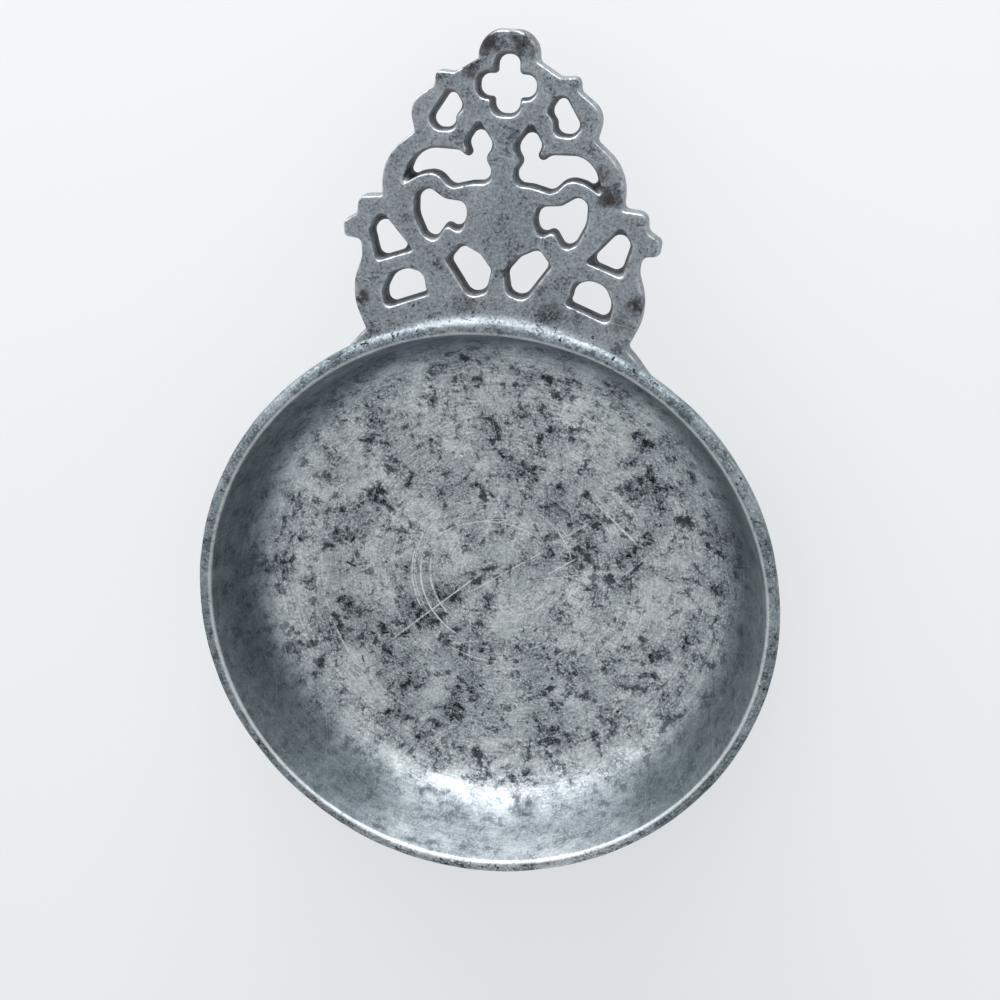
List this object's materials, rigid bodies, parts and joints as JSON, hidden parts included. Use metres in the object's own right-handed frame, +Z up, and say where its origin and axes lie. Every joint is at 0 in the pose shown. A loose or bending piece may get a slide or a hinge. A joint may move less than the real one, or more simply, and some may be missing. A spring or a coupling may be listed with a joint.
{
  "type": "porringer",
  "caption": "Shallow round pewter bowl with a thick lip and one flat pierced handle level with the rim, braced by a tongue below, for eating or serving soft food.",
  "frame": {"origin": "centre of the bowl's flat base, on the turned axis of the bowl, where it stands on the table", "axes": "+Z up along the bowl's axis, +Y out along the handle, +X to the right with the handle pointing away"},
  "size_m": [0.137, 0.1979, 0.03],
  "materials": {
    "pewter_bowl": "turned and worn, dull grey with pits and dark oxide",
    "pewter_handle": "cast and worn, dull grey with bright edges"
  },
  "bodies": {
    "root": {"bowl": "pewter_bowl", "handle": "pewter_handle"}
  },
  "joints": []
}
